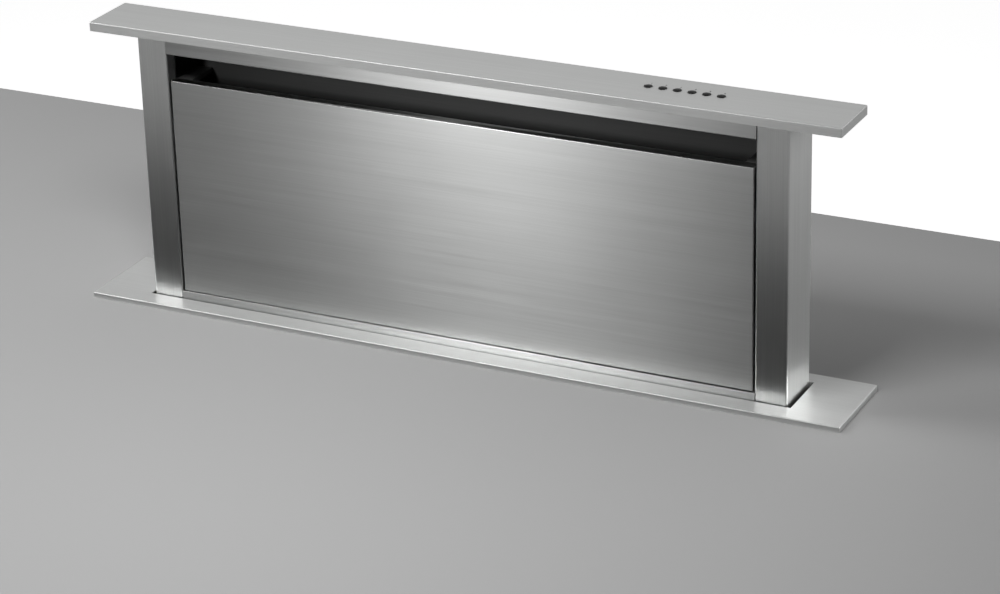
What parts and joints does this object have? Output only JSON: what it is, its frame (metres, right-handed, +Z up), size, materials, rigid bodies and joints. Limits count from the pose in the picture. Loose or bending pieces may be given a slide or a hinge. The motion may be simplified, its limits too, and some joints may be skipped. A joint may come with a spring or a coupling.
{
  "type": "downdraft vent",
  "caption": "Rising cooktop vent: a brushed steel tower with a suction slot and push-buttons, lifted by racks through a worktop flange, with its casing, blower and outlet below.",
  "frame": {"origin": "middle of the worktop flange, on the worktop's surface, where the middle of the cut-out is", "axes": "+X along the vent to the user's right, +Y to the back, +Z up"},
  "size_m": [0.88, 0.3752, 1.0378],
  "materials": {
    "stainless": "lengthwise brushed stainless sheet",
    "galvanised": "plain zinc-coated sheet",
    "zinc_steel": "bright zinc plate",
    "rack_steel": "machined steel",
    "spring_steel": "blued spring strip",
    "aluminium": "mill finish",
    "filter_aluminium": "anodised baffles",
    "bronze": "sintered",
    "black_paint": "satin",
    "seal_foam": "closed-cell foam",
    "black_plastic": "moulded",
    "grey_plastic": "moulded",
    "white_plastic": "acetal",
    "board_green": "printed board",
    "button_black": "domed key"
  },
  "bodies": {
    "casing": {"worktop_flange": "stainless", "flange_seal": "seal_foam", "flange_fixings": "zinc_steel", "casing_back": "galvanised", "casing_front": "galvanised", "casing_floor": "galvanised", "casing_screws": "zinc_steel", "guide_rail_left": "zinc_steel", "guide_rail_right": "zinc_steel", "rack_left": "rack_steel", "rack_right": "rack_steel", "cabinet_bracket_left": "zinc_steel", "cabinet_bracket_right": "zinc_steel", "levelling_feet": "black_plastic", "blower_box": "galvanised", "blower_cover": "galvanised", "scroll_housing": "galvanised", "blower_motor": "black_paint", "motor_spider": "black_paint", "outlet_collar": "galvanised", "flap_pin": "zinc_steel", "electronics_box": "grey_plastic", "electronics_lid": "grey_plastic", "power_board": "board_green", "cable_gland": "black_plastic"},
    "tower": {"post_left": "stainless", "post_right": "stainless", "header": "stainless", "front_panel": "stainless", "apron": "stainless", "rear_panel": "stainless", "bottom_tie": "galvanised", "filter_frame": "aluminium", "grease_filter_left": "filter_aluminium", "grease_filter_right": "filter_aluminium", "panel_ledges": "stainless", "panel_clips": "spring_steel", "glide_shoes": "white_plastic", "lift_motor": "black_paint", "motor_bracket": "zinc_steel", "shaft_bushes": "bronze", "top_cap": "stainless", "cap_underplate": "stainless", "control_housing": "black_plastic", "control_board": "board_green"},
    "lift_shaft": {"cross_shaft": "zinc_steel", "pinions": "rack_steel", "driven_gear": "rack_steel"},
    "lift_motor_gear": {"motor_gear": "rack_steel"},
    "fan": {"impeller": "galvanised", "impeller_blades": "galvanised", "fan_shaft": "zinc_steel"},
    "left_flap": {"flap_left": "galvanised"},
    "right_flap": {"flap_right": "galvanised"},
    "key_1": {"button_1": "button_black"},
    "key_2": {"button_2": "button_black"},
    "key_3": {"button_3": "button_black"},
    "key_4": {"button_4": "button_black"},
    "key_5": {"button_5": "button_black"},
    "key_6": {"button_6": "button_black"}
  },
  "joints": [
    {"name": "lift", "type": "slide", "parent": "casing", "child": "tower", "axis": [0, 0, 1], "range_m": [-0.3, 0]},
    {"name": "cross_shaft_turn", "type": "hinge", "parent": "tower", "child": "lift_shaft", "pos_m": [0, 0.0095, -0.1], "axis": [1, 0, 0], "range_deg": [0, 1230]},
    {"name": "motor_gear_turn", "type": "hinge", "parent": "tower", "child": "lift_motor_gear", "pos_m": [0.304, 0.0095, -0.073], "axis": [1, 0, 0], "range_deg": [-2460, 0]},
    {"name": "fan_spin", "type": "hinge", "parent": "casing", "child": "fan", "pos_m": [0, -0.158, -0.548], "axis": [1, 0, 0], "continuous": true},
    {"name": "left_flap_swing", "type": "hinge", "parent": "casing", "child": "left_flap", "pos_m": [0, -0.2972, -0.608], "axis": [0, 0, 1], "range_deg": [0, 78]},
    {"name": "right_flap_swing", "type": "hinge", "parent": "casing", "child": "right_flap", "pos_m": [0, -0.2972, -0.608], "axis": [0, 0, 1], "range_deg": [-78, 0]},
    {"name": "key_1_press", "type": "slide", "parent": "tower", "child": "key_1", "axis": [0, 0, -1], "range_m": [0, 0.001], "stiffness_N_per_m": 1000},
    {"name": "key_2_press", "type": "slide", "parent": "tower", "child": "key_2", "axis": [0, 0, -1], "range_m": [0, 0.001], "stiffness_N_per_m": 1000},
    {"name": "key_3_press", "type": "slide", "parent": "tower", "child": "key_3", "axis": [0, 0, -1], "range_m": [0, 0.001], "stiffness_N_per_m": 1000},
    {"name": "key_4_press", "type": "slide", "parent": "tower", "child": "key_4", "axis": [0, 0, -1], "range_m": [0, 0.001], "stiffness_N_per_m": 1000},
    {"name": "key_5_press", "type": "slide", "parent": "tower", "child": "key_5", "axis": [0, 0, -1], "range_m": [0, 0.001], "stiffness_N_per_m": 1000},
    {"name": "key_6_press", "type": "slide", "parent": "tower", "child": "key_6", "axis": [0, 0, -1], "range_m": [0, 0.001], "stiffness_N_per_m": 1000}
  ],
  "couplings": [
    {"joint": "cross_shaft_turn", "follows": "lift", "rad_per_m": -71.429},
    {"joint": "motor_gear_turn", "follows": "lift", "rad_per_m": 142.86}
  ]
}
